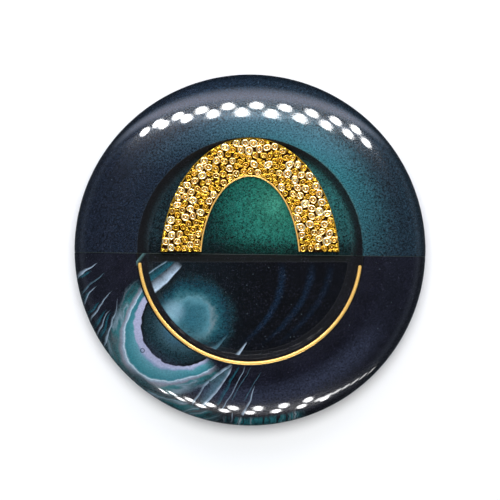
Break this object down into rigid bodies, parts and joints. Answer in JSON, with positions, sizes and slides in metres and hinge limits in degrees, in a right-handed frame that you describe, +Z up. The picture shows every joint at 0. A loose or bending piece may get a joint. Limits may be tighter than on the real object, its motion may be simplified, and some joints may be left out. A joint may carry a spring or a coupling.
{
  "type": "disc ink stick",
  "caption": "Round polished ink stick of two butted half-discs, green and banded, with a sunk round well, a beaded gold arch and a gold wire edging.",
  "frame": {"origin": "centre of the round underside, on the surface that it rests on", "axes": "+Z up out of the decorated face, +Y from the centre towards the crown of the arch, +X to the right with the arch upright"},
  "size_m": [0.06, 0.06, 0.0101],
  "materials": {
    "green_body": "polished, fine green grain fading to navy at the rim",
    "banded_body": "polished, near-black navy with teal and lavender-white bands",
    "gold": "polished yellow gold",
    "glue": "thin set glue film"
  },
  "bodies": {
    "root": {"green_half": "green_body", "banded_half": "banded_body", "seam_glue": "glue", "arch_sheet": "gold", "arch_inner_wire": "gold", "arch_beads": "gold", "arch_glue": "glue", "gold_arc": "gold", "arc_glue": "glue"}
  },
  "joints": []
}
